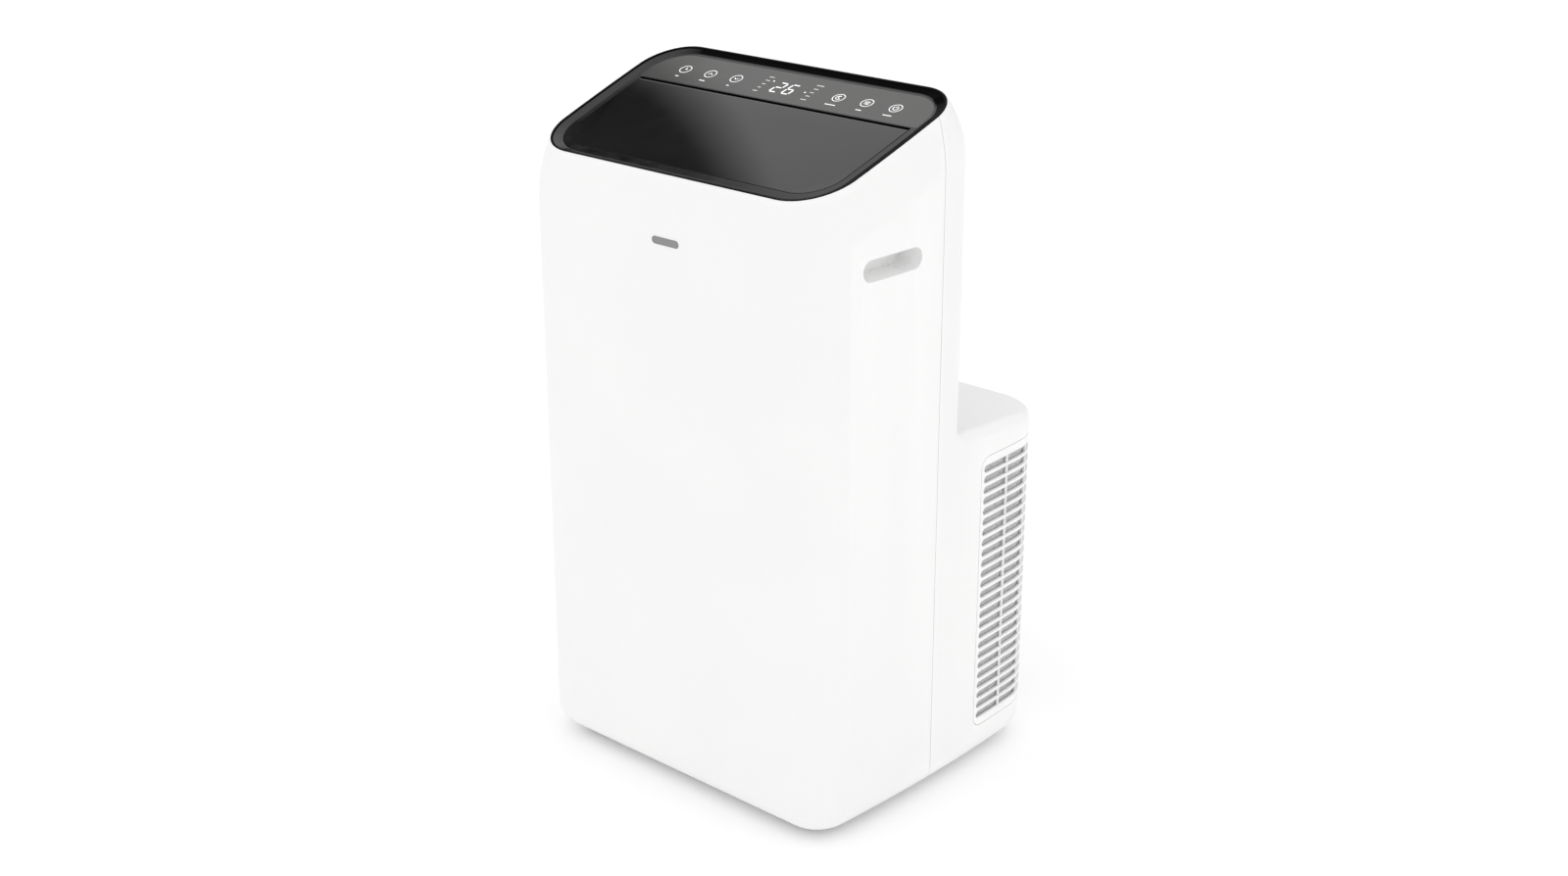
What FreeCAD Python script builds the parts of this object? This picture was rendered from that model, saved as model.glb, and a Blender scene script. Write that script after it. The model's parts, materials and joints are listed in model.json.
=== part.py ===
import FreeCAD, Part
import math
import os

# Portable air conditioner. Millimetres. +Z is up, -Y is the front, +X is the right-hand side
# seen from the front. The origin is on the floor, under the middle of the overall box.

V = FreeCAD.Vector
X_AXIS = V(1, 0, 0)
Y_AXIS = V(0, 1, 0)
Z_AXIS = V(0, 0, 1)

# ---- Cabinet: driving dimensions ----
CABINET_BOTTOM = 10.0      # underside of the cabinet above the floor
FRONT_Y = -176.0           # flat front face
UPPER_REAR_Y = 29.0        # rear wall above the shelf
REAR_Y = 176.0             # rear wall of the lower part
HALF_WIDTH = 198.5         # at the widest place of the bowed sides
SIDE_CREST_Y = -11.0       # where the bowed sides are widest
SIDE_BOW_RADIUS = 1923.0
WALL = 2.6                 # moulded wall thickness
GAP = 0.25                 # clearance between neighbouring mouldings
FRONT_CORNER = 40.0
UPPER_REAR_CORNER = 25.0
REAR_CORNER = 60.0
BOTTOM_FILLET = 22.0
SEAM_Y = -16.0             # joint between the front and rear shells
TONGUE = 1.6               # thickness of the front shell's tongue behind that joint
BASE_OPENING_INSET = 26.0  # edge of the opening in the cabinet's underside
SCREW_X = 160.0
SCREW_Z = (425.0, 600.0)
SCREW_HOLE = 3.8

# Rim of the sloping top: front and rear points of its outer edge on the centre plane
RIM_FRONT = V(0, -173.4, 630)
RIM_REAR = V(0, 26.4, 700)
RIM_RISE = (RIM_REAR.z - RIM_FRONT.z) / (RIM_REAR.y - RIM_FRONT.y)
RIM_ANGLE = math.degrees(math.atan(RIM_RISE))
SHOULDER_DEPTH = 55.0      # the walls start to lean inwards this far below the rim
SHOULDER_SIDE = 9.2        # how far the sides lean in at the rim
SHOULDER_ENDS = 2.6        # the same for the front and rear walls
SHOULDER_FRONT_CORNER = 12.0
SHOULDER_REAR_CORNER = 20.0

# Shelf on top of the lower rear part
SHELF_START_Y = 8.0
SHELF_START_Z = 400.0
SHELF_CURVE = 28.0         # concave curve from the upper wall to the shelf
SHELF_SLOPE = math.atan(0.075)
SHELF_EDGE = 10.0          # rounding of the shelf's edges

# Intake grille, wrapped round the lower rear part
GRILLE_FRONT_Y = 55.0
GRILLE_Z = (46.0, 339.0)
GRILLE_CORNER = 12.0
SEAM = 0.5                 # visible seam round removable covers
SLOT_COUNT = 25
SLOT_PITCH = 11.17
SLOT_HEIGHT = 7.9
SLOT_FIRST_Z = 58.5
SLOT_START_Y = 59.5
SIDE_RIB_Y = (100.0, 136.0)
REAR_RIB_X = (-110.0, -66.0, -22.0, 22.0, 66.0, 110.0)
RIB_WIDTH = 2.4

# Handle pockets in both sides
HANDLE_Y = (-125.0, -47.0)
HANDLE_Z = (555.0, 575.5)
HANDLE_DEPTH = 28.0
CUP_WALL = 2.2
CUP_FLOOR = 2.5

# Sloping top, measured in the rim's own plane: x across, w up the slope from RIM_FRONT, n outwards
BEZEL_TOP = -0.6
LEDGE = -3.6               # level of the flap, the ledge round it and the control strip
RECESS_FLOOR = -13.0
BEZEL_BOTTOM = -15.5
LEDGE_SIDE = 21.0          # distance in from the cabinet's side
FLAP_SIDE = 27.0
LEDGE_W = (9.8, 202.0)
FLAP_W = (18.7, 147.5)
FLAP_GAP = 0.9
STRIP_W = (148.6, 199.6)
FLAP_NOSE = 4.0            # radius of the flap's rounded rear edge, centred on its hinge
FLAP_THICKNESS = 4.0
FLAP_FRONT_CORNER = 38.0
HINGE_W = FLAP_W[1] - FLAP_GAP - FLAP_NOSE
HINGE_N = LEDGE - FLAP_NOSE
HINGE_PIN_RADIUS = 2.0
RUNNING_GAP = 0.05         # radial clearance of a shaft in its bearing

# Air outlet under the flap
OUTLET_HALF = 150.0
OUTLET_W = (36.0, 126.0)
OUTLET_DUCT_END_Z = 555.0
VANE_X = (-110.0, -55.0, 0.0, 55.0, 110.0)
VANE_W = 78.0
VANE_ARM = 20.0            # from a vane's pivot to its link pin
VANE_SHAFT = 1.6
LINK_PIN = 1.4
LINK_SLOT = 2.2            # half width of the link bar's slots

# Exhaust port on the upper rear wall
PORT_Z = 478.0
PORT_RADIUS = 65.0
PORT_WALL = 3.0
PORT_FLANGE = 76.0

# Casters
CASTER_X = 140.0
CASTER_Y = 120.0
WHEEL_RADIUS = 16.0
WHEEL_HALF = 7.0
CASTER_TRAIL = 9.0
CASTER_PIN = 2.5
CASTER_STEM = 4.0
CHEEK_GAP = 0.8            # between the wheel and the fork's cheeks
CHEEK = 2.4
WELL_RADIUS = 30.0
WELL_ROOF_Z = 45.0
PAN_Z = (12.8, 15.8)
PAN_INSET = 22.0
PAN_KERB = 2.4
PAN_KERB_TOP = 26.0

# Inside
PARTITION_Z = (203.0, 206.0)
COIL_Y = (116.0, 148.0)
COIL_HALF = 145.0
COLD_FAN = V(-40, 0, 292)
COLD_SCROLL_Y = (-163.0, -97.0)
HOT_FAN = V(85, 0, 122)
HOT_SCROLL_Y = (-36.0, 26.0)
SCROLL_RADIUS = 72.0
SCROLL_WALL = 2.0
FAN_RADIUS = 58.0
COMPRESSOR = V(-88, -30, 30)
COMPRESSOR_RADIUS = 54.0
DRAIN = V(-60, 0, 38)
CORD_GLAND = V(90, 0, 38)
OUTLET_HOLE = 6.5          # holes in the rear shell for the drain and the cord
BLOWER_SHAFT = 4.0         # radius of the blower shafts
BLADE_COUNT = 20
COLD_NECK_X = (-112.0, 32.0)
COLD_NECK_TOP = 372.0
HOT_NECK_X = (56.0, 152.0)
HOT_NECK_TOP = 202.0
COLD_MOTOR_RADIUS = 30.0
HOT_MOTOR_RADIUS = 34.0
SCROLL_EYE = 48.0
SCROLL_SHAFT_HOLE = 8.0
COIL_TUBE = 3.5
COIL_ROWS = 6
PIPE_RADIUS = 4.0
ACCUMULATOR = V(-24, -124, 60)
ACCUMULATOR_RADIUS = 21.0
CAPACITOR = V(28, -140, 30)
CAPACITOR_RADIUS = 18.0
SLINGER = V(0, 84, 46)
SLINGER_RADIUS = 18.0
SLINGER_SHAFT = 2.5
SLINGER_PADDLES = 8


# ---- Small helpers ----
def block(x, y, z):
    """A box between three pairs of limits."""
    return Part.makeBox(x[1] - x[0], y[1] - y[0], z[1] - z[0], V(x[0], y[0], z[0]))


def rod(base, axis, radius, length):
    return Part.makeCylinder(radius, length, base, axis)


def tube(base, axis, outer, inner, length):
    return rod(base, axis, outer, length).cut(rod(base, axis, inner, length))


def joined(shapes):
    """One clean solid from overlapping ones."""
    return shapes[0].fuse(list(shapes[1:])).removeSplitter()


def without(shape, cutters):
    return shape.cut(list(cutters))


def moved(shape, offset):
    copy = shape.copy()
    copy.translate(offset)
    return copy


def save(name, shape):
    shape.exportStep(os.path.join("parts", name + ".step"))


def stadium(y, z, x):
    """A bar along X whose section is a slot with round ends, long in Y."""
    radius = (z[1] - z[0]) / 2
    middle = (z[0] + z[1]) / 2
    length = x[1] - x[0]
    ends = [rod(V(x[0], at, middle), X_AXIS, radius, length) for at in (y[0] + radius, y[1] - radius)]
    return joined([block(x, (y[0] + radius, y[1] - radius), z)] + ends)


# ---- Cabinet envelope ----
def side_x(y, inset):
    """Half width of the cabinet at y, with its gently bowed sides."""
    sag = SIDE_BOW_RADIUS - math.sqrt(SIDE_BOW_RADIUS ** 2 - (y - SIDE_CREST_Y) ** 2)
    return HALF_WIDTH - inset - sag


def plan_prism(side, ends, corners, rear_y, z):
    """Upright block with the cabinet's plan: flat ends, bowed sides and round corners."""
    front = FRONT_Y + ends
    rear = rear_y - ends
    middle = (front + rear) / 2

    def at(sign, y):
        return V(sign * side_x(y, side), y, z[0])

    edges = [
        Part.LineSegment(at(-1, front), at(1, front)).toShape(),
        Part.Arc(at(1, front), at(1, middle), at(1, rear)).toShape(),
        Part.LineSegment(at(1, rear), at(-1, rear)).toShape(),
        Part.Arc(at(-1, rear), at(-1, middle), at(-1, front)).toShape(),
    ]
    prism = Part.Face(Part.Wire(edges)).extrude(V(0, 0, z[1] - z[0]))
    for y, radius in ((front, corners[0]), (rear, corners[1])):
        upright = [
            edge for edge in prism.Edges
            if edge.BoundBox.XLength < 1e-3 and edge.BoundBox.YLength < 1e-3
            and abs(edge.BoundBox.YMax - y) < 1e-3
        ]
        prism = prism.makeFillet(radius, upright)
    return prism


def under_rim(depth):
    """Everything below the rim plane lowered by depth, measured straight down."""
    def rim_z(y):
        return RIM_FRONT.z + RIM_RISE * (y - RIM_FRONT.y) - depth

    far = 400.0
    points = [
        V(-far, -far, -far),
        V(-far, far, -far),
        V(-far, far, rim_z(far)),
        V(-far, -far, rim_z(-far)),
    ]
    return Part.Face(Part.makePolygon(points + points[:1])).extrude(V(2 * far, 0, 0))


def top_wire(shape):
    return max(shape.Faces, key=lambda face: face.CenterOfMass.z).OuterWire


def shoulder_section(inset, depth):
    """Outline of the upper cabinet on the rim plane lowered by depth."""
    lean = ((SHOULDER_DEPTH - depth) / SHOULDER_DEPTH) ** 2
    corners = (
        FRONT_CORNER - inset + SHOULDER_FRONT_CORNER * lean,
        UPPER_REAR_CORNER - inset + SHOULDER_REAR_CORNER * lean,
    )
    side = inset + SHOULDER_SIDE * lean
    ends = inset + SHOULDER_ENDS * lean
    prism = plan_prism(side, ends, corners, UPPER_REAR_Y, (500, 780))
    return top_wire(prism.common(under_rim(depth)))


def upper_body(inset, top_depth):
    """Upper cabinet with its sloping top and leaning shoulders."""
    corners = (FRONT_CORNER - inset, UPPER_REAR_CORNER - inset)
    walls = plan_prism(inset, inset, corners, UPPER_REAR_Y, (60, 780)).common(under_rim(SHOULDER_DEPTH))
    depths = [SHOULDER_DEPTH * part for part in (0.8, 0.6, 0.4, 0.2)] + [top_depth]
    wires = [top_wire(walls)] + [shoulder_section(inset, depth) for depth in depths]
    shoulder = Part.makeLoft(wires, True, False)
    return walls.fuse([shoulder], 1e-3)


def shelf_cut(inset):
    """Everything under the shelf: its concave start, then a gentle slope to the rear."""
    far = 300.0
    start = V(-far, SHELF_START_Y - inset, SHELF_START_Z)
    centre = V(-far, start.y + SHELF_CURVE + inset, start.z)
    radius = SHELF_CURVE + inset

    def on_curve(angle):
        return V(-far, centre.y - radius * math.cos(angle), centre.z - radius * math.sin(angle))

    last = math.pi / 2 - SHELF_SLOPE
    end = on_curve(last)
    rear = V(-far, far, end.z - (far - end.y) * math.tan(SHELF_SLOPE))
    curve = Part.Arc(start, on_curve(last / 2), end).toShape()
    around = [end, rear, V(-far, far, -far), V(-far, -far, -far), V(-far, -far, start.z), start]
    outline = Part.Wire([curve] + Part.makePolygon(around).Edges)
    return Part.Face(outline).extrude(V(2 * far, 0, 0))


def lower_body(inset):
    """Lower cabinet with its rounded foot and the shelf behind the upper part."""
    bottom = CABINET_BOTTOM + inset
    corners = (FRONT_CORNER - inset, REAR_CORNER - inset)
    body = plan_prism(inset, inset, corners, REAR_Y, (bottom, 440))
    foot = [edge for edge in body.Edges if abs(edge.BoundBox.ZMax - bottom) < 1e-3]
    body = body.makeFillet(BOTTOM_FILLET - inset, foot).common(shelf_cut(inset))
    start = SHELF_START_Y - inset
    rim = []
    for edge in body.Edges:
        box = edge.BoundBox
        across = box.YLength < 1e-3 and box.YMax < UPPER_REAR_Y
        crease = box.XLength > HALF_WIDTH and box.YMax < REAR_Y / 2
        if box.ZMin > 345 and box.YMin > start - 1 and not across and not crease:
            rim.append(edge)
    return body.makeFillet(SHELF_EDGE - inset, rim)


def envelope(inset, top_depth=0.0):
    """The cabinet's outer form, moved inwards by inset."""
    return upper_body(inset, top_depth).fuse([lower_body(inset)], 1e-3)


OUTER = envelope(0.0)
INNER = envelope(WALL, -6.0)
CABINET_WALL = OUTER.cut(INNER)


# ---- Sloping top: placement ----
def on_rim(shape):
    """Moves a shape drawn as (x, w, n) onto the rim plane."""
    placed = shape.copy()
    placed.rotate(V(0, 0, 0), X_AXIS, RIM_ANGLE)
    placed.translate(RIM_FRONT)
    return placed


def rim_half(w, inset):
    """Half width at w on the rim plane, inset from the cabinet's side."""
    return side_x(RIM_FRONT.y + w * math.cos(math.radians(RIM_ANGLE)), inset)


def rim_plate(inset, w, corners, n):
    """Plate on the rim plane whose sides follow the cabinet's bowed sides."""
    middle = (w[0] + w[1]) / 2

    def at(sign, along):
        return V(sign * rim_half(along, inset), along, n[0])

    edges = [
        Part.LineSegment(at(-1, w[0]), at(1, w[0])).toShape(),
        Part.Arc(at(1, w[0]), at(1, middle), at(1, w[1])).toShape(),
        Part.LineSegment(at(1, w[1]), at(-1, w[1])).toShape(),
        Part.Arc(at(-1, w[1]), at(-1, middle), at(-1, w[0])).toShape(),
    ]
    plate = Part.Face(Part.Wire(edges)).extrude(V(0, 0, n[1] - n[0]))
    for along, radius in ((w[0], corners[0]), (w[1], corners[1])):
        upright = [
            edge for edge in plate.Edges
            if edge.BoundBox.XLength < 1e-3 and edge.BoundBox.YLength < 1e-3
            and abs(edge.BoundBox.YMax - along) < 1e-3
        ]
        plate = plate.makeFillet(radius, upright)
    return plate


# ---- Cabinet mouldings ----
def grille_region(grow):
    """The part of the cabinet wall that the intake grille fills, plus grow all round."""
    y = (GRILLE_FRONT_Y - grow, 260.0)
    z = (GRILLE_Z[0] - grow, GRILLE_Z[1] + grow)
    region = block((-230, 230), y, z)
    front = [
        edge for edge in region.Edges
        if edge.BoundBox.YLength < 1e-3 and edge.BoundBox.ZLength < 1e-3 and edge.BoundBox.YMax < 100
    ]
    return region.makeFillet(GRILLE_CORNER + grow, front)


def screw_places():
    return [V(x, UPPER_REAR_Y, z) for x in (-SCREW_X, SCREW_X) for z in SCREW_Z]


def base_opening():
    return plan_prism(BASE_OPENING_INSET, BASE_OPENING_INSET, (20, 30), REAR_Y, (0, 20))


def inner_prism(inset, z):
    """Upright block inset from the lower cabinet, with its corners reduced to match."""
    return plan_prism(inset, inset, (FRONT_CORNER - inset, REAR_CORNER - inset), REAR_Y, z)


def make_front_shell():
    wall = CABINET_WALL.common(block((-250, 250), (-250, SEAM_Y - SEAM / 2), (-20, 800)))
    pockets = stadium(HANDLE_Y, HANDLE_Z, (-230, 230))
    wall = without(wall, [pockets, base_opening()])
    z = (CABINET_BOTTOM + 30, 560)
    band = block((-250, 250), (SEAM_Y - 9, SEAM_Y + 7), z)
    tongue = inner_prism(WALL, z).cut(inner_prism(WALL + TONGUE, z)).common(band)
    lap = block((-250, 250), (SEAM_Y - SEAM / 2, 0), (0, 600))
    spare = inner_prism(WALL + GAP, z)
    tongue = tongue.cut(lap.cut(spare))
    return wall.fuse([tongue], 1e-3)


def make_rear_shell():
    wall = CABINET_WALL.common(block((-250, 250), (SEAM_Y + SEAM / 2, 250), (-20, 800)))
    port = rod(V(0, 0, PORT_Z), Y_AXIS, PORT_RADIUS + PORT_WALL + GAP, 60)
    screws = [rod(place - V(0, 6, 0), Y_AXIS, SCREW_HOLE, 12) for place in screw_places()]
    drain = rod(V(DRAIN.x, 150, DRAIN.z), Y_AXIS, OUTLET_HOLE, 40)
    gland = rod(V(CORD_GLAND.x, 150, CORD_GLAND.z), Y_AXIS, OUTLET_HOLE, 40)
    return without(wall, [port, drain, gland, grille_region(SEAM), base_opening()] + screws)


def make_intake_grille():
    skin = CABINET_WALL.common(grille_region(0))
    slots = []
    for index in range(SLOT_COUNT):
        low = SLOT_FIRST_Z - SLOT_HEIGHT / 2 + index * SLOT_PITCH
        slots.append(stadium((SLOT_START_Y, 260), (low, low + SLOT_HEIGHT), (-230, 230)))
    bars = without(skin, slots)
    z = (GRILLE_Z[0] + 6, GRILLE_Z[1] - 6)
    ribs = [block((-230, 230), (y - RIB_WIDTH / 2, y + RIB_WIDTH / 2), z) for y in SIDE_RIB_Y]
    ribs += [block((x - RIB_WIDTH / 2, x + RIB_WIDTH / 2), (150, 200), z) for x in REAR_RIB_X]
    set_back = inner_prism(0.6, (20, 345))
    backs = [skin.common(rib).common(set_back) for rib in ribs]
    return bars.fuse(backs, 1e-3)


def make_filter_mesh():
    z = (GRILLE_Z[0] + 3, GRILLE_Z[1] - 3)
    outer = inner_prism(WALL + 1.2, z)
    inner = inner_prism(WALL + 2.4, z)
    return outer.cut(inner).common(block((-250, 250), (GRILLE_FRONT_Y + 2, 250), z))


def make_shell_screws():
    heads = []
    long = (-2.6, 2.6)
    short = (-0.5, 0.5)
    deep = (-1.3, 0.6)
    for place in screw_places():
        head = rod(place - V(0, 3, 0), Y_AXIS, 3.4, 2.6)
        recess = [block(long, deep, short), block(short, deep, long)]
        head = without(head, [moved(cut, place) for cut in recess])
        shank = rod(place - V(0, 14, 0), Y_AXIS, 1.9, 11.2)
        heads.append(joined([head, shank]))
    return Part.makeCompound(heads)


def make_handle_cup(sign):
    bottom_x = HALF_WIDTH - HANDLE_DEPTH
    y = (HANDLE_Y[0] - CUP_WALL, HANDLE_Y[1] + CUP_WALL)
    z = (HANDLE_Z[0] - CUP_WALL, HANDLE_Z[1] + CUP_WALL)
    outer = stadium(y, z, (bottom_x - CUP_FLOOR, 215))
    inner = stadium(HANDLE_Y, HANDLE_Z, (bottom_x, 230))
    inside = upper_body(WALL + 0.15, 0.0)
    cup = outer.cut(inner)
    if sign < 0:
        cup = cup.mirror(V(0, 0, 0), X_AXIS)
    return cup.common(inside)


def make_base_pan():
    inner_edge = PAN_INSET + PAN_KERB
    z = (PAN_Z[0], PAN_KERB_TOP)
    pan = plan_prism(PAN_INSET, PAN_INSET, (24, 40), REAR_Y, PAN_Z)
    kerb = plan_prism(PAN_INSET, PAN_INSET, (24, 40), REAR_Y, z)
    kerb = kerb.cut(plan_prism(inner_edge, inner_edge, (22, 38), REAR_Y, z))
    boss_top = WELL_ROOF_Z + 17
    wells = []
    cuts = []
    for x in (-CASTER_X, CASTER_X):
        for y in (-CASTER_Y, CASTER_Y):
            wells.append(rod(V(x, y, PAN_Z[0]), Z_AXIS, WELL_RADIUS + 2.5, WELL_ROOF_Z + 3 - PAN_Z[0]))
            wells.append(rod(V(x, y, WELL_ROOF_Z), Z_AXIS, 9, boss_top - WELL_ROOF_Z))
            cuts.append(rod(V(x, y, 0), Z_AXIS, WELL_RADIUS, WELL_ROOF_Z))
            cuts.append(rod(V(x, y, WELL_ROOF_Z - 5), Z_AXIS, CASTER_STEM + RUNNING_GAP, 20))
    return without(joined([pan, kerb] + wells), cuts)


# ---- Sloping top ----
def make_top_bezel():
    fit = upper_body(WALL + GAP, 0.0)
    cosine = math.cos(math.radians(RIM_ANGLE))
    slab = fit.common(under_rim(-BEZEL_TOP / cosine)).cut(under_rim(-BEZEL_BOTTOM / cosine))
    rim = rim_plate(11.8, (3.2, 208.4), (50, 43), (BEZEL_TOP, BEZEL_TOP + 0.1))
    foot = rim_plate(LEDGE_SIDE, LEDGE_W, (46, 40), (LEDGE, LEDGE + 0.1))
    low = min(foot.Faces, key=lambda face: face.CenterOfMass.z).OuterWire
    high = min(rim.Faces, key=lambda face: face.CenterOfMass.z).OuterWire
    dish = Part.makeLoft([low, high], True, True)
    above = rim_plate(8, (0.5, 211), (50, 43), (BEZEL_TOP - 0.01, 6))
    flap_well = rim_plate(FLAP_SIDE, FLAP_W, (FLAP_FRONT_CORNER, 1.5), (RECESS_FLOOR, 1))
    strip_well = rim_plate(LEDGE_SIDE + 1.0, STRIP_W, (2, 36), (LEDGE - 2.8, 1))
    board_well = block((-152, 152), (155, 192), (LEDGE - 7.0, 0))
    mouth = block((-OUTLET_HALF, OUTLET_HALF), OUTLET_W, (BEZEL_BOTTOM - 5, 0))
    bearing = rod(V(-188, HINGE_W, HINGE_N), X_AXIS, HINGE_PIN_RADIUS + RUNNING_GAP, 376)
    motor_well = block((-187.4, -175.6), (HINGE_W - 6.4, HINGE_W + 6.4), (BEZEL_BOTTOM - 5, LEDGE - 1.0))
    cuts = [dish, above, flap_well, strip_well, board_well, mouth, bearing, motor_well]
    return without(slab, [on_rim(cut) for cut in cuts])


def make_control_glass():
    low = LEDGE - 2.6
    w = (STRIP_W[0] + GAP, STRIP_W[1] - GAP)
    return on_rim(rim_plate(LEDGE_SIDE + 1.0 + GAP, w, (1.8, 35.8), (low, LEDGE)))


def make_display_board():
    board = block((-150, 150), (157, 190), (LEDGE - 6.6, LEDGE - 5.0))
    lamps = block((-36, 36), (160, 186), (LEDGE - 5.0, LEDGE - 3.0))
    return on_rim(joined([board, lamps]))


def make_flap():
    """Outlet flap: a thin plate that thickens into a round nose about its hinge."""
    gap = FLAP_GAP
    low = LEDGE - FLAP_THICKNESS
    half = rim_half(HINGE_W, FLAP_SIDE + gap) + 5
    start = FLAP_W[0] - 5
    nose_top = V(-half, HINGE_W, LEDGE)
    nose_end = V(-half, HINGE_W + FLAP_NOSE, HINGE_N)
    nose_low = V(-half, HINGE_W, HINGE_N - FLAP_NOSE)
    taper_end = V(-half, HINGE_W - 14, low)
    under = [nose_low, taper_end, V(-half, start, low), V(-half, start, LEDGE), nose_top]
    nose = Part.Arc(nose_top, nose_end, nose_low).toShape()
    section = Part.Wire([nose] + Part.makePolygon(under).Edges)
    strip = Part.Face(section).extrude(V(2 * half, 0, 0))
    w = (FLAP_W[0] + gap, FLAP_W[1] + 20)
    outline = rim_plate(FLAP_SIDE + gap, w, (FLAP_FRONT_CORNER - gap, 4), (-20, 5))
    plate = strip.common(outline)
    ribs = [block((x - 1, x + 1), (60, HINGE_W - 6), (low - 2.5, low + 1)) for x in (-156, 156)]
    stiffener = block((-150, 150), (28, 30.5), (low - 2.5, low + 1))
    sockets = [rod(V(x, HINGE_W, HINGE_N), X_AXIS, HINGE_PIN_RADIUS, 50) for x in (-200, 150)]
    return on_rim(without(joined([plate, stiffener] + ribs), sockets))


def make_flap_pins():
    right = rod(V(151, HINGE_W, HINGE_N), X_AXIS, HINGE_PIN_RADIUS, 27)
    left = rod(V(-184, HINGE_W, HINGE_N), X_AXIS, HINGE_PIN_RADIUS, 33)
    return Part.makeCompound([on_rim(right), on_rim(left)])


def make_flap_motor():
    x = (-187.0, -176.0)
    head = block(x, (HINGE_W - 6, HINGE_W + 6), (-30, LEDGE - 1.3))
    body = rod(V(x[0], HINGE_W, -30), X_AXIS, 12, 11)
    hub = rod(V(-200, HINGE_W, HINGE_N), X_AXIS, HINGE_PIN_RADIUS + RUNNING_GAP, 40)
    return on_rim(joined([head, body]).cut(hub))


# ---- Outlet duct and its swing vanes ----
def make_outlet_duct():
    wall = 2.0
    top = BEZEL_BOTTOM - GAP
    x = (-OUTLET_HALF - wall, OUTLET_HALF + wall)
    w = (OUTLET_W[0] - wall, OUTLET_W[1] + wall)
    outer = block(x, w, (-150, top))
    flange = block((x[0] - 6, x[1] + 6), (w[0] - 6, w[1] + 6), (top - 2, top))
    inner = block((-OUTLET_HALF, OUTLET_HALF), OUTLET_W, (-160, 0))
    shafts = [rod(V(x, VANE_W, -72), Z_AXIS, VANE_SHAFT + RUNNING_GAP, 4) for x in VANE_X]
    bridge = block(x, (VANE_W - 6, VANE_W + 6), (-71.5, -69))
    duct = joined([outer.cut(inner), flange.cut(inner), bridge])
    duct = on_rim(without(duct, shafts))
    return duct.common(block((-250, 250), (-250, 250), (OUTLET_DUCT_END_Z, 800)))


def make_swing_vane(x):
    blade = block((x - 0.8, x + 0.8), (VANE_W - 30, VANE_W + 34), (-62, -24))
    shaft = rod(V(x, VANE_W, -72), Z_AXIS, VANE_SHAFT, 48)
    arm = rod(V(x, VANE_W + VANE_ARM, -67), Z_AXIS, LINK_PIN, 8)
    return on_rim(joined([blade, shaft, arm]))


def make_vane_link_bar():
    bar = block((-122, 122), (VANE_W + VANE_ARM - 7, VANE_W + VANE_ARM + 5), (-66.5, -64.2))
    slots = []
    for x in VANE_X:
        low = V(x, VANE_W + VANE_ARM - 3.6, -70)
        slots.append(rod(low, Z_AXIS, LINK_SLOT, 10))
        slots.append(rod(low + V(0, 4.2, 0), Z_AXIS, LINK_SLOT, 10))
        slots.append(block((x - LINK_SLOT, x + LINK_SLOT), (low.y, low.y + 4.2), (-70, -60)))
    return on_rim(without(bar, slots))


def make_vane_motor():
    x = VANE_X[-1]
    body = rod(V(x, VANE_W, -90), Z_AXIS, 12, 16)
    feet = block((x - 17, x + 17), (VANE_W - 4, VANE_W + 4), (-74.5, -73))
    bore = rod(V(x, VANE_W, -80), Z_AXIS, VANE_SHAFT + RUNNING_GAP, 10)
    return on_rim(joined([body, feet]).cut(bore))


# ---- Air path inside ----
def make_scroll(centre, y, neck_x, neck_top):
    """Blower housing: a drum with an upright discharge neck, an inlet eye and a shaft hole."""
    def form(shrink, top):
        start = V(centre.x, y[0] + shrink, centre.z)
        drum = rod(start, Y_AXIS, SCROLL_RADIUS - shrink, y[1] - y[0] - 2 * shrink)
        neck_width = (neck_x[0] + shrink, neck_x[1] - shrink)
        neck = block(neck_width, (y[0] + shrink, y[1] - shrink), (centre.z, top))
        return joined([drum, neck])

    eye = rod(V(centre.x, y[1] - 8, centre.z), Y_AXIS, SCROLL_EYE, 20)
    hole = rod(V(centre.x, y[0] - 8, centre.z), Y_AXIS, SCROLL_SHAFT_HOLE, 20)
    return without(form(0, neck_top), [form(SCROLL_WALL, neck_top + 5), eye, hole])


def make_blower_wheel(centre, y, blades):
    """Forward-curved blower wheel: back plate, front ring, blades and hub."""
    width = y[1] - y[0]
    plate = rod(V(0, y[0], 0), Y_AXIS, FAN_RADIUS, 2)
    ring = tube(V(0, y[1] - 3, 0), Y_AXIS, FAN_RADIUS, FAN_RADIUS - 12, 3)
    hub = rod(V(0, y[0], 0), Y_AXIS, 12, width * 0.5)
    pieces = [plate, ring, hub]
    for index in range(blades):
        blade = block((-0.8, 0.8), (y[0] + 1, y[1] - 1), (FAN_RADIUS - 12, FAN_RADIUS - 1))
        blade.rotate(V(0, 0, FAN_RADIUS - 6), Y_AXIS, 30)
        blade.rotate(V(0, 0, 0), Y_AXIS, index * 360.0 / blades)
        pieces.append(blade)
    wheel = joined(pieces).cut(rod(V(0, y[0] - 1, 0), Y_AXIS, BLOWER_SHAFT, width))
    return moved(wheel, V(centre.x, 0, centre.z))


def make_motor(centre, y, radius):
    can = rod(V(centre.x, y[0], centre.z), Y_AXIS, radius, y[1] - y[0])
    rims = [edge for edge in can.Edges if isinstance(edge.Curve, Part.Circle)]
    can = can.makeFillet(3, rims)
    bore = rod(V(centre.x, y[0] - 1, centre.z), Y_AXIS, BLOWER_SHAFT + RUNNING_GAP, y[1] - y[0] + 2)
    return can.cut(bore)


def make_shaft(centre, y):
    return rod(V(centre.x, y[0], centre.z), Y_AXIS, BLOWER_SHAFT, y[1] - y[0])


def rectangle(x, y, z):
    corners = [V(x[0], y[0], z), V(x[1], y[0], z), V(x[1], y[1], z), V(x[0], y[1], z)]
    return Part.makePolygon(corners + corners[:1])


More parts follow.
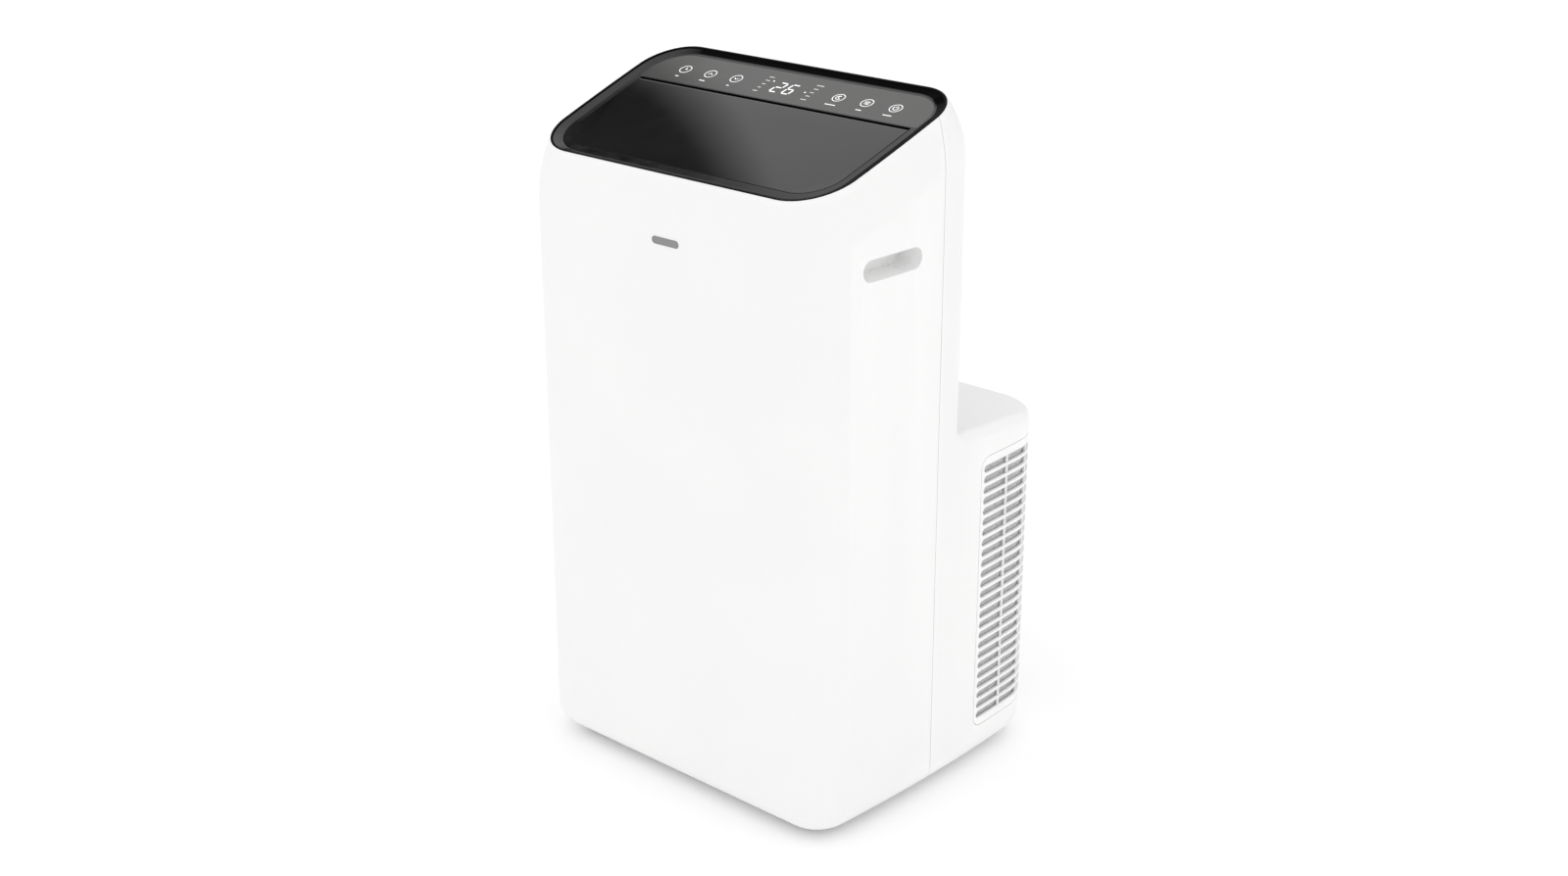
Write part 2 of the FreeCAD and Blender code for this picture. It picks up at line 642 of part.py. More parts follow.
def make_cold_riser():
    neck_top = COLD_NECK_TOP + 0.5

    def form(shrink, bottom, top):
        def ring(x, y, z):
            return rectangle((x[0] + shrink, x[1] - shrink), (y[0] + shrink, y[1] - shrink), z)

        sections = [
            ring(COLD_NECK_X, COLD_SCROLL_Y, bottom),
            ring((-152, 152), (-150, -62), 500),
            ring((-152, 152), (-113.5, -11.5), top),
        ]
        return Part.makeLoft(sections, True, True)

    end = OUTLET_DUCT_END_Z - GAP
    return form(0, neck_top, end).cut(form(2, neck_top - 0.1, end + 0.1))


def make_hot_duct():
    def form(s, bottom):
        x = (HOT_NECK_X[0] + s, HOT_NECK_X[1] - s)
        y = (HOT_SCROLL_Y[0] + s, 24 - s)
        leg = block(x, y, (bottom, 440))
        head = block((-78 + s, 152 - s), (-30 + s, 24 - s), (404 + s, 525 - s))
        cap = block((-78 + s, 78 - s), (-8 + s, 24 - s), (500, 549 - s))
        return joined([leg, head, cap])

    shell = form(0, 206.5).cut(form(2, 200))
    return shell.cut(rod(V(0, 10, PORT_Z), Y_AXIS, PORT_RADIUS + PORT_WALL + GAP, 40))


def make_exhaust_collar():
    tail = 12.0
    body = rod(V(0, tail, PORT_Z), Y_AXIS, PORT_RADIUS + PORT_WALL, UPPER_REAR_Y + 4 - tail)
    flange = rod(V(0, UPPER_REAR_Y + GAP, PORT_Z), Y_AXIS, PORT_FLANGE, 4 - GAP)
    lugs = []
    for angle in (45, 135, 225, 315):
        lug = block((-9, 9), (UPPER_REAR_Y + GAP, UPPER_REAR_Y + 7), (PORT_FLANGE - 6, PORT_FLANGE - 1))
        lug.rotate(V(0, 0, 0), Y_AXIS, angle)
        lugs.append(moved(lug, V(0, 0, PORT_Z)))
    ring = joined([body, flange] + lugs)
    return ring.cut(rod(V(0, tail - 1, PORT_Z), Y_AXIS, PORT_RADIUS, 60))


def make_coil(z, rows):
    """Fin block with copper return bends at both ends."""
    fins = block((-COIL_HALF, COIL_HALF), COIL_Y, z)
    pitch = 10.0
    grooves = []
    count = int(2 * COIL_HALF / pitch)
    for index in range(1, count):
        x = -COIL_HALF + index * pitch
        grooves.append(block((x - 2, x + 2), (COIL_Y[1] - 5, COIL_Y[1] + 1), (z[0] - 1, z[1] + 1)))
    fins = without(fins, grooves)
    bends = []
    step = (z[1] - z[0]) / rows
    middle = (COIL_Y[0] + COIL_Y[1]) / 2
    for index in range(rows - 1):
        at = z[0] + (index + 1) * step
        end = COIL_HALF if index % 2 else -COIL_HALF
        outside = (end, end + 60) if index % 2 else (end - 60, end)
        bend = Part.makeTorus(step / 2, COIL_TUBE, V(end, middle, at), Y_AXIS)
        bends.append(bend.common(block(outside, (0, 250), (0, 500))))
    return fins.fuse(bends)


def make_drain_pan():
    pan = plan_prism(6, 6, (34, 54), REAR_Y, PARTITION_Z)
    kerb_outer = plan_prism(8, 8, (32, 52), REAR_Y, (PARTITION_Z[0], 214))
    kerb = kerb_outer.cut(plan_prism(10, 10, (30, 50), REAR_Y, (PARTITION_Z[0], 214)))
    duct = block((54, 154), (-38.5, 28.5), (190, 230))
    rim = block((52, 156), (-40.5, 30.5), (PARTITION_Z[0], 214)).cut(duct)
    return joined([pan, kerb, rim]).cut(duct)


# ---- Refrigerant circuit and electrics ----
def make_compressor():
    low = COMPRESSOR.z
    can = rod(COMPRESSOR, Z_AXIS, COMPRESSOR_RADIUS, 148)
    ends = [edge for edge in can.Edges if isinstance(edge.Curve, Part.Circle)]
    can = can.makeFillet(16, ends)
    weld = tube(COMPRESSOR + V(0, 0, 104), Z_AXIS, COMPRESSOR_RADIUS + 1.5, COMPRESSOR_RADIUS - 4, 4)
    plate_x = (COMPRESSOR.x - 56, COMPRESSOR.x + 56)
    plate = block(plate_x, (COMPRESSOR.y - 48, COMPRESSOR.y + 48), (low - 3, low + 8))
    terminal = rod(COMPRESSOR + V(24, -20, 140), Z_AXIS, 12, 18)
    holes = [rod(place + V(0, 0, -20), Z_AXIS, 5, 40) for place in foot_places()]
    body = joined([can, weld, plate, terminal])
    return without(body, holes)


def foot_places():
    return [COMPRESSOR + V(x, y, 0) for x in (-48, 48) for y in (-40, 40)]


def make_compressor_feet():
    feet = []
    for place in foot_places():
        low = V(place.x, place.y, PAN_Z[1])
        height = COMPRESSOR.z - 3 - PAN_Z[1]
        neck = rod(low, Z_AXIS, 4.9, height + 13)
        feet.append(joined([rod(low, Z_AXIS, 9, height), neck]))
    return Part.makeCompound(feet)


def make_pipe(points, radius, bend):
    """Round pipe along straight runs joined by bends."""
    edges = []
    start = points[0]
    for before, corner, after in zip(points, points[1:], points[2:]):
        back = (before - corner).normalize()
        ahead = (after - corner).normalize()
        half = back.getAngle(ahead) / 2
        setback = bend / math.tan(half)
        enter = corner + back * setback
        leave = corner + ahead * setback
        bisector = (back + ahead).normalize()
        middle = corner + bisector * (bend / math.sin(half) - bend)
        edges.append(Part.LineSegment(start, enter).toShape())
        edges.append(Part.Arc(enter, middle, leave).toShape())
        start = leave
    edges.append(Part.LineSegment(start, points[-1]).toShape())
    path = Part.Wire(edges)
    profile = Part.Wire([Part.Circle(points[0], points[1] - points[0], radius).toShape()])
    return path.makePipeShell([profile], True, True)


def make_discharge_pipe():
    top = COMPRESSOR + V(-20, 10, 149)
    over = V(top.x, top.y, 196)
    down = V(top.x, 100, 196)
    turn = V(top.x, 100, 180)
    return make_pipe([top, over, down, turn, V(top.x, 115.5, 180)], PIPE_RADIUS, 7)


def make_accumulator():
    can = rod(ACCUMULATOR, Z_AXIS, ACCUMULATOR_RADIUS, 100)
    rims = [edge for edge in can.Edges if isinstance(edge.Curve, Part.Circle)]
    return can.makeFillet(10, rims)


def make_suction_pipe():
    start = ACCUMULATOR - V(0, 0, 0.5)
    low = V(start.x, start.y, 44)
    turn = V(start.x, -50, 44)
    return make_pipe([start, low, turn, V(-37.2, -50, 44)], PIPE_RADIUS, 8)


def make_electrical_box():
    outer = block((58, 160), (-166, -100), (72, 190))
    inner = block((60, 158), (-164, -102), (74, 188.1))
    core = block((58.8, 159.2), (-165.2, -100.8), (150, 170))
    lid_line = block((57, 161), (-167, -99), (160, 161)).cut(core)
    return outer.cut(inner).cut(lid_line)


def make_run_capacitor():
    can = rod(CAPACITOR, Z_AXIS, CAPACITOR_RADIUS, 84)
    tabs = [moved(block((x, x + 6), (-4, 4), (83, 94)), CAPACITOR) for x in (-10, 4)]
    return joined([can] + tabs)


def make_slinger_wheel():
    disc = rod(SLINGER, Y_AXIS, SLINGER_RADIUS, 3)
    paddles = []
    for index in range(SLINGER_PADDLES):
        paddle = block((-1, 1), (0, 8), (10, SLINGER_RADIUS + 6))
        paddle.rotate(V(0, 0, 0), Y_AXIS, index * 360.0 / SLINGER_PADDLES)
        paddles.append(moved(paddle, SLINGER))
    shaft = rod(SLINGER - V(0, 20, 0), Y_AXIS, SLINGER_SHAFT, 22)
    return joined([disc, shaft] + paddles)


def make_slinger_motor():
    can = rod(SLINGER - V(0, 46, 0), Y_AXIS, 16, 40)
    foot = block((-14, 14), (42, 72), (PAN_Z[1], 34))
    bore = rod(SLINGER - V(0, 24, 0), Y_AXIS, SLINGER_SHAFT + RUNNING_GAP, 30)
    return joined([can, foot]).cut(bore)


def make_drain_spout():
    body = rod(V(DRAIN.x, 118, DRAIN.z), Y_AXIS, 6, 52)
    leg = rod(V(DRAIN.x, 124, PAN_Z[1]), Z_AXIS, 5, DRAIN.z - PAN_Z[1])
    bore = rod(V(DRAIN.x, 122, DRAIN.z), Y_AXIS, 4, 60)
    drop = rod(V(DRAIN.x, 124, PAN_Z[1] - 1), Z_AXIS, 3, DRAIN.z - PAN_Z[1])
    return without(joined([body, leg]), [bore, drop])


def make_drain_plug():
    stem = rod(V(DRAIN.x, 158, DRAIN.z), Y_AXIS, 4 - RUNNING_GAP, 13)
    head = rod(V(DRAIN.x, 170.3, DRAIN.z), Y_AXIS, 6, 5.2)
    pull = block((DRAIN.x - 4, DRAIN.x + 4), (173.5, 176), (DRAIN.z - 0.8, DRAIN.z + 0.8))
    grips = []
    for z in (DRAIN.z - 2.6, DRAIN.z + 2.6):
        grips.append(block((DRAIN.x - 7, DRAIN.x + 7), (174, 178), (z - 1.2, z + 1.2)))
    return joined([without(joined([stem, head]), grips), pull])


def make_cord_gland():
    collar = rod(CORD_GLAND + V(0, 150, 0), Y_AXIS, 6.2, 25.6)
    stop = rod(CORD_GLAND + V(0, 164, 0), Y_AXIS, 9, 8)
    return joined([collar, stop]).cut(rod(CORD_GLAND + V(0, 140, 0), Y_AXIS, 3.6, 50))


# ---- Casters ----
def make_caster_fork(place):
    inner = WHEEL_HALF + CHEEK_GAP
    outer = inner + CHEEK
    cheeks = [block(x, (0, 17), (11, 38)) for x in ((inner, outer), (-outer, -inner))]
    bridge = block((-outer, outer), (-9, 17), (34.5, 38))
    disc = rod(V(0, 0, 36), Z_AXIS, 12, 5)
    stem = rod(V(0, 0, 38), Z_AXIS, CASTER_STEM, 20)
    pin = rod(V(-20, CASTER_TRAIL, WHEEL_RADIUS), X_AXIS, CASTER_PIN, 40)
    fork = joined(cheeks + [bridge, disc, stem]).cut(pin)
    return moved(fork, place)


def make_caster_axle(place):
    half = WHEEL_HALF + CHEEK_GAP + CHEEK
    return rod(place + V(-half, CASTER_TRAIL, WHEEL_RADIUS), X_AXIS, CASTER_PIN, 2 * half)


def make_caster_wheel(place):
    centre = V(-WHEEL_HALF, CASTER_TRAIL, WHEEL_RADIUS)
    tyre = rod(centre, X_AXIS, WHEEL_RADIUS, 2 * WHEEL_HALF)
    rims = [edge for edge in tyre.Edges if isinstance(edge.Curve, Part.Circle)]
    tyre = tyre.makeFillet(1.5, rims)
    bore = rod(centre - V(1, 0, 0), X_AXIS, CASTER_PIN + RUNNING_GAP, 2 * WHEEL_HALF + 2)
    dish_ends = (-WHEEL_HALF - 1, WHEEL_HALF - 2)
    dishes = [tube(V(x, CASTER_TRAIL, WHEEL_RADIUS), X_AXIS, 12, 6, 3) for x in dish_ends]
    return moved(without(tyre, [bore] + dishes), place)


# ---- All pieces ----
def save_cabinet():
    save("front_shell", make_front_shell())
    save("rear_shell", make_rear_shell())
    save("base_pan", make_base_pan())
    save("intake_grille", make_intake_grille())
    save("filter_mesh", make_filter_mesh())
    save("shell_screws", make_shell_screws())
    save("handle_cup_right", make_handle_cup(1))
    save("handle_cup_left", make_handle_cup(-1))


def save_top():
    save("top_bezel", make_top_bezel())
    save("control_glass", make_control_glass())
    save("display_board", make_display_board())
    save("outlet_flap", make_flap())
    save("flap_pins", make_flap_pins())
    save("flap_motor", make_flap_motor())
    save("outlet_duct", make_outlet_duct())
    save("vane_link_bar", make_vane_link_bar())
    save("vane_motor", make_vane_motor())
    for number, x in enumerate(VANE_X, 1):
        save(f"swing_vane_{number}", make_swing_vane(x))


def save_air_path():
    save("evaporator_scroll", make_scroll(COLD_FAN, COLD_SCROLL_Y, COLD_NECK_X, COLD_NECK_TOP))
    save("condenser_scroll", make_scroll(HOT_FAN, HOT_SCROLL_Y, HOT_NECK_X, HOT_NECK_TOP))
    cold_wheel = (COLD_SCROLL_Y[0] + 6, COLD_SCROLL_Y[1] - 6)
    hot_wheel = (HOT_SCROLL_Y[0] + 6, HOT_SCROLL_Y[1] - 6)
    save("evaporator_fan", make_blower_wheel(COLD_FAN, cold_wheel, BLADE_COUNT))
    save("condenser_fan", make_blower_wheel(HOT_FAN, hot_wheel, BLADE_COUNT))
    save("evaporator_shaft", make_shaft(COLD_FAN, (cold_wheel[0], -60)))
    save("condenser_shaft", make_shaft(HOT_FAN, (-85, 0)))
    save("evaporator_motor", make_motor(COLD_FAN, (-90, -50), COLD_MOTOR_RADIUS))
    save("condenser_motor", make_motor(HOT_FAN, (-92, -40), HOT_MOTOR_RADIUS))
    save("cold_riser", make_cold_riser())
    save("hot_duct", make_hot_duct())
    save("exhaust_collar", make_exhaust_collar())
    save("evaporator_coil", make_coil((222, 346), COIL_ROWS))
    save("condenser_coil", make_coil((68, 196), COIL_ROWS))
    save("drain_pan", make_drain_pan())


def save_circuit():
    save("compressor", make_compressor())
    save("compressor_feet", make_compressor_feet())
    save("discharge_pipe", make_discharge_pipe())
    save("accumulator", make_accumulator())
    save("suction_pipe", make_suction_pipe())
    save("electrical_box", make_electrical_box())
    save("run_capacitor", make_run_capacitor())
    save("slinger_wheel", make_slinger_wheel())
    save("slinger_motor", make_slinger_motor())
    save("drain_spout", make_drain_spout())
    save("drain_plug", make_drain_plug())
    save("cord_gland", make_cord_gland())


def save_casters():
    for end, y in (("front", -CASTER_Y), ("rear", CASTER_Y)):
        for side, x in (("left", -CASTER_X), ("right", CASTER_X)):
            place = V(x, y, 0)
            save(f"caster_fork_{end}_{side}", make_caster_fork(place))
            save(f"caster_axle_{end}_{side}", make_caster_axle(place))
            save(f"caster_wheel_{end}_{side}", make_caster_wheel(place))


def main():
    os.makedirs("parts", exist_ok=True)
    save_cabinet()
    save_top()
    save_air_path()
    save_circuit()
    save_casters()


main()
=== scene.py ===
import json
import math

import bmesh
import bpy
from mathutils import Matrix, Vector


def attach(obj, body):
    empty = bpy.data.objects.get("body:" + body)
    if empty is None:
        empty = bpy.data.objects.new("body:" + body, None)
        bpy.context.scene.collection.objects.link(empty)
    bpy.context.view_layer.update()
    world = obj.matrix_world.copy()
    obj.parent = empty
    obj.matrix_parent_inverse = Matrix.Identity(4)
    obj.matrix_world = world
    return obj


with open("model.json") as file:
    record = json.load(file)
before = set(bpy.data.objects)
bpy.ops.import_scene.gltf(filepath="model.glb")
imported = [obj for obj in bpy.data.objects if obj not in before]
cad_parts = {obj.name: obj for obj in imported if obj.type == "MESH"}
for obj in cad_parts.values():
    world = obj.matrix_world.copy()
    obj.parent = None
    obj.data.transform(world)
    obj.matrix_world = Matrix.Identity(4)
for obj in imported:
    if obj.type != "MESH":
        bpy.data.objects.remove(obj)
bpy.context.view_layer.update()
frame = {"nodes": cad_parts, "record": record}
nodes = frame["nodes"]

MM = 0.001

# The sloping top. Millimetres, as in the part's source.
RIM_FRONT_Y = -173.4
RIM_REAR_Y = 26.4
RIM_FRONT_Z = 630
RIM_RISE = 70
RIM_ANGLE = math.atan(RIM_RISE / (RIM_REAR_Y - RIM_FRONT_Y))
RIM_FRONT_CORNER = 52.0
RIM_REAR_CORNER = 45.0
RIM_HALF_WIDTH = 189.3     # at the widest place of the bowed sides
SIDE_BOW_RADIUS = 1923.0
SIDE_CREST_Y = -11.0       # where the bowed sides are widest
LEDGE = -3.6               # level of the flap, the ledge round it and the control strip
FRONT_Y = -176.0           # the cabinet's flat front

# Print on the control glass. Millimetres.
PRINT_LIFT = 0.12
PRINT_THICKNESS = 0.08


def rim_point(x, w, n):
    """A point given on the sloping top: x across, w up the slope, n outwards from the rim."""
    cosine = math.cos(RIM_ANGLE)
    sine = math.sin(RIM_ANGLE)
    return Vector((x, RIM_FRONT_Y + w * cosine - n * sine, RIM_FRONT_Z + w * sine + n * cosine)) * MM


# ---------------------------------------------------------------- node helpers
def new_material(name):
    """An empty material with one shader, ready to be linked."""
    material = bpy.data.materials.new(name)
    material.use_nodes = True
    tree = material.node_tree
    tree.nodes.clear()
    out = tree.nodes.new("ShaderNodeOutputMaterial")
    shader = tree.nodes.new("ShaderNodeBsdfPrincipled")
    tree.links.new(shader.outputs["BSDF"], out.inputs["Surface"])
    return material, tree, shader


def node(tree, kind, **settings):
    """A new node with its sockets, or else its own properties, set by name."""
    made = tree.nodes.new(kind)
    for key, value in settings.items():
        if key in made.inputs:
            made.inputs[key].default_value = value
        else:
            setattr(made, key, value)
    return made


def object_coordinates(tree, scale=(1, 1, 1)):
    """Coordinates in metres that stay with the object, stretched by scale."""
    place = node(tree, "ShaderNodeTexCoord")
    mapping = node(tree, "ShaderNodeMapping")
    mapping.inputs["Scale"].default_value = scale
    tree.links.new(place.outputs["Object"], mapping.inputs["Vector"])
    return mapping.outputs["Vector"]


def noise(tree, vector, scale, detail=3.0, roughness=0.5):
    made = node(tree, "ShaderNodeTexNoise", Scale=scale, Detail=detail, Roughness=roughness)
    tree.links.new(vector, made.inputs["Vector"])
    return made.outputs["Fac"]


def span(tree, value, low, high, start=0.0, end=1.0):
    """Maps value from low..high to start..end."""
    made = node(tree, "ShaderNodeMapRange")
    made.inputs["From Min"].default_value = low
    made.inputs["From Max"].default_value = high
    made.inputs["To Min"].default_value = start
    made.inputs["To Max"].default_value = end
    tree.links.new(value, made.inputs["Value"])
    return made.outputs["Result"]


def along(tree, vector, axis):
    """How far vector points along axis."""
    made = node(tree, "ShaderNodeVectorMath", operation="DOT_PRODUCT")
    made.inputs[1].default_value = axis
    tree.links.new(vector, made.inputs[0])
    return made.outputs["Value"]


COLOUR_INPUTS = (6, 7)     # the mix node's two colour sockets
COLOUR_OUTPUT = 2


def mix_colours(tree, factor, first, second):
    """First colour where factor is 0 and second where it is 1; each is a colour or a socket."""
    made = node(tree, "ShaderNodeMix", data_type="RGBA")
    tree.links.new(factor, made.inputs["Factor"])
    for index, colour in zip(COLOUR_INPUTS, (first, second)):
        if isinstance(colour, bpy.types.NodeSocket):
            tree.links.new(colour, made.inputs[index])
        else:
            made.inputs[index].default_value = (*colour, 1)
    return made.outputs[COLOUR_OUTPUT]


def even_out(tree, value, start=0.0, end=1.0):
    """Stretches the middle of a noise's range to start..end."""
    return span(tree, value, 0.3, 0.7, start, end)


def edge_wear(tree):
    """0 on flat places and up to 1 on sharp outer edges."""
    geometry = node(tree, "ShaderNodeNewGeometry")
    return span(tree, geometry.outputs["Pointiness"], 0.52, 0.62)


def add_bump(tree, shader, height, strength, distance, edge_radius=0.0):
    """Relief from height, over edges that look rounded by edge_radius metres."""
    bump = node(tree, "ShaderNodeBump", Strength=strength, Distance=distance)
    tree.links.new(height, bump.inputs["Height"])
    if edge_radius:
        bevel = node(tree, "ShaderNodeBevel", samples=4, Radius=edge_radius)
        tree.links.new(bevel.outputs["Normal"], bump.inputs["Normal"])
    tree.links.new(bump.outputs["Normal"], shader.inputs["Normal"])


def plastic(name, colour, second, roughness, grain=2600.0, grain_depth=0.00003, coat=0.0,
            edge_radius=0.0006, wear=None, spread=0.05, specular=0.5):
    """Moulded plastic: faint mottling, spark-eroded grain and slightly rubbed edges."""
    material, tree, shader = new_material(name)
    vector = object_coordinates(tree)
    colour_out = mix_colours(tree, even_out(tree, noise(tree, vector, 7.0, 2.0)), colour, second)
    if wear:
        colour_out = mix_colours(tree, edge_wear(tree), colour_out, wear)
    tree.links.new(colour_out, shader.inputs["Base Color"])
    patchy = noise(tree, vector, 38.0, 4.0)
    gloss = even_out(tree, patchy, roughness - spread, roughness + spread)
    tree.links.new(gloss, shader.inputs["Roughness"])
    add_bump(tree, shader, noise(tree, vector, grain, 2.0), 0.35, grain_depth, edge_radius)
    shader.inputs["Specular IOR Level"].default_value = specular
    if coat:
        shader.inputs["Coat Weight"].default_value = coat
        shader.inputs["Coat Roughness"].default_value = 0.08
    return material


def metal(name, colour, second, roughness, metallic=1.0):
    """Drawn or turned metal: streaks along one axis and a soft tarnish."""
    material, tree, shader = new_material(name)
    streaks = noise(tree, object_coordinates(tree, (40, 900, 900)), 1.0, 4.0)
    tarnish = noise(tree, object_coordinates(tree), 22.0, 3.0)
    colour_out = mix_colours(tree, even_out(tree, tarnish), colour, second)
    tree.links.new(colour_out, shader.inputs["Base Color"])
    gloss = even_out(tree, streaks, roughness - 0.08, roughness + 0.1)
    tree.links.new(gloss, shader.inputs["Roughness"])
    shader.inputs["Metallic"].default_value = metallic
    add_bump(tree, shader, streaks, 0.25, 0.00005)
    return material


# ---------------------------------------------------------------- materials
WHITE = (0.905, 0.905, 0.9)
WHITE_SHADE = (0.885, 0.887, 0.885)


def fin_stock():
    """Aluminium fins: fine upright lines over bare metal, the dark lines painted shade in the gaps
    between the fins.
    """
    material, tree, shader = new_material("fin_stock")
    vector = object_coordinates(tree)
    fins = node(tree, "ShaderNodeTexWave", Scale=160.0, Distortion=0.0)
    tree.links.new(vector, fins.inputs["Vector"])
    lines = fins.outputs["Fac"]
    # The dark colour is painted shade in the gaps between the fins; the light one is the fins' metal.
    colour_out = mix_colours(tree, lines, (0.36, 0.37, 0.38), (0.78, 0.79, 0.8))
    tree.links.new(colour_out, shader.inputs["Base Color"])
    tree.links.new(even_out(tree, noise(tree, vector, 60.0), 0.3, 0.5), shader.inputs["Roughness"])
    shader.inputs["Metallic"].default_value = 0.9
    add_bump(tree, shader, lines, 0.6, 0.0006)
    return material


# The bezel's wall is polished left of the first x and dull right of the second. Millimetres.
POLISHED_X = -168.0
DULL_X = -140.0


def bezel_black():
    """The dished frame: polished on its flat ledge and left wall, dull black elsewhere.

    The uneven polish is a guess, made so that the frame's reflections come out right.
    """
    material, tree, shader = new_material("bezel_black")
    vector = object_coordinates(tree)
    normal = Vector((0, -math.sin(RIM_ANGLE), math.cos(RIM_ANGLE)))
    ledge_level = normal.dot(rim_point(0, 0, LEDGE))
    level = along(tree, vector, normal)
    above = span(tree, level, ledge_level + 0.1 * MM, ledge_level + 0.5 * MM)
    below = span(tree, level, ledge_level - 0.2 * MM, ledge_level - 0.6 * MM)
    right = span(tree, along(tree, vector, (1, 0, 0)), POLISHED_X * MM, DULL_X * MM)
    wall = node(tree, "ShaderNodeMath", operation="MULTIPLY_ADD")
    for source, socket in zip((above, right, below), wall.inputs):
        tree.links.new(source, socket)
    mottle = noise(tree, vector, 30.0, 3.0)
    colour_out = mix_colours(tree, mottle, (0.002, 0.002, 0.0022), (0.004, 0.004, 0.0043))
    tree.links.new(colour_out, shader.inputs["Base Color"])
    shine = span(tree, wall.outputs["Value"], 0, 1, 0.42, 0.01)
    tree.links.new(shine, shader.inputs["Specular IOR Level"])
    tree.links.new(even_out(tree, mottle, 0.12, 0.18), shader.inputs["Roughness"])
    add_bump(tree, shader, noise(tree, vector, 900.0, 2.0), 0.2, 0.00001, 0.0003)
    return material


WEAVE_PITCH = 1.4 * MM


def screen_weave():
    """Filter screen: a fine square mesh whose holes are darkened with painted shade, and a little
    dust.
    """
    material, tree, shader = new_material("screen_weave")
    place = node(tree, "ShaderNodeTexCoord")
    split = node(tree, "ShaderNodeSeparateXYZ")
    tree.links.new(place.outputs["Object"], split.inputs["Vector"])
    around = node(tree, "ShaderNodeMath", operation="ADD")
    tree.links.new(split.outputs["X"], around.inputs[0])
    tree.links.new(split.outputs["Y"], around.inputs[1])
    waves = []
    for source in (around.outputs["Value"], split.outputs["Z"]):
        turn = node(tree, "ShaderNodeMath", operation="MULTIPLY")
        turn.inputs[1].default_value = 2 * math.pi / WEAVE_PITCH
        tree.links.new(source, turn.inputs[0])
        wave = node(tree, "ShaderNodeMath", operation="SINE")
        tree.links.new(turn.outputs["Value"], wave.inputs[0])
        waves.append(wave.outputs["Value"])
    thread = node(tree, "ShaderNodeMath", operation="MAXIMUM")
    tree.links.new(waves[0], thread.inputs[0])
    tree.links.new(waves[1], thread.inputs[1])
    height = span(tree, thread.outputs["Value"], -0.4, 0.8)
    dust = span(tree, noise(tree, place.outputs["Object"], 420.0, 3.0), 0.35, 0.65)
    threads = mix_colours(tree, dust, (0.5, 0.5, 0.5), (0.78, 0.78, 0.78))
    # The dark grey of the holes is painted shade, standing in for the dark space behind the screen.
    tree.links.new(mix_colours(tree, height, (0.33, 0.33, 0.33), threads), shader.inputs["Base Color"])
    tree.links.new(span(tree, dust, 0, 1, 0.65, 0.85), shader.inputs["Roughness"])
    add_bump(tree, shader, height, 0.5, 0.0003)
    return material


def printed(name, colour, strength):
    """Back-lit print on the glass: an even glow with a faint unevenness."""
    material, tree, shader = new_material(name)
    patchy = noise(tree, object_coordinates(tree), 300.0, 2.0)
    shade = tuple(part * 0.86 for part in colour)
    colour_out = mix_colours(tree, patchy, shade, colour)
    tree.links.new(colour_out, shader.inputs["Base Color"])
    tree.links.new(colour_out, shader.inputs["Emission Color"])
    shader.inputs["Emission Strength"].default_value = strength
    tree.links.new(span(tree, patchy, 0, 1, 0.3, 0.4), shader.inputs["Roughness"])
    add_bump(tree, shader, patchy, 0.1, 0.00001)
    return material


def white_materials():
    worn = (0.94, 0.94, 0.935)
    return {
        "white_shell": plastic("satin_white", WHITE, WHITE_SHADE, 0.34, wear=worn),
        "white_grille": plastic("grille_white", WHITE, WHITE_SHADE, 0.36, wear=worn),
        "white_duct": plastic("duct_white", (0.78, 0.78, 0.77), (0.73, 0.73, 0.72), 0.45),
    }


def black_materials():
    return {
        "black_gloss": plastic(
            "piano_black", (0.0028, 0.0028, 0.003), (0.0018, 0.0018, 0.002), 0.05, grain=500.0,
            grain_depth=0.000002, edge_radius=0.0003, spread=0.015, wear=(0.02, 0.02, 0.02)),
        "black_glass": plastic(
            "touch_glass", (0.034, 0.032, 0.03), (0.03, 0.0285, 0.027), 0.1, grain=500.0,
            grain_depth=0.000002, spread=0.02, specular=0.85),
        "dark_plastic": plastic(
            "vane_black", (0.03, 0.03, 0.032), (0.022, 0.022, 0.024), 0.42, wear=(0.08, 0.08, 0.08)),
        "compressor_paint": plastic(
            "black_enamel", (0.012, 0.012, 0.013), (0.02, 0.02, 0.021), 0.25, coat=0.4),
        "rubber": plastic(
            "soft_rubber", (0.02, 0.02, 0.02), (0.032, 0.032, 0.032), 0.72, grain=1400.0),
        "caster_plastic": plastic(
            "caster_nylon", (0.05, 0.05, 0.052), (0.035, 0.035, 0.037), 0.45, wear=(0.12, 0.12, 0.12)),
        "wheel_plastic": plastic(
            "wheel_nylon", (0.03, 0.03, 0.032), (0.022, 0.022, 0.024), 0.5, wear=(0.1, 0.1, 0.1)),
    }


def inner_materials():
    return {
        "grey_plastic": plastic("utility_grey", (0.34, 0.345, 0.35), (0.3, 0.305, 0.31), 0.5),
        "board_green": plastic("solder_mask", (0.02, 0.13, 0.05), (0.015, 0.1, 0.04), 0.35),
        "filter_mesh": screen_weave(),
        "screw_steel": metal("zinc", (0.55, 0.55, 0.54), (0.42, 0.42, 0.42), 0.35),
        "bright_steel": metal("ground_steel", (0.6, 0.6, 0.61), (0.5, 0.5, 0.51), 0.28),
        "motor_steel": metal("motor_can", (0.3, 0.31, 0.32), (0.24, 0.25, 0.26), 0.45, metallic=0.7),
        "coil_aluminium": fin_stock(),
        "copper": metal("drawn_copper", (0.72, 0.33, 0.2), (0.5, 0.21, 0.13), 0.3),
    }


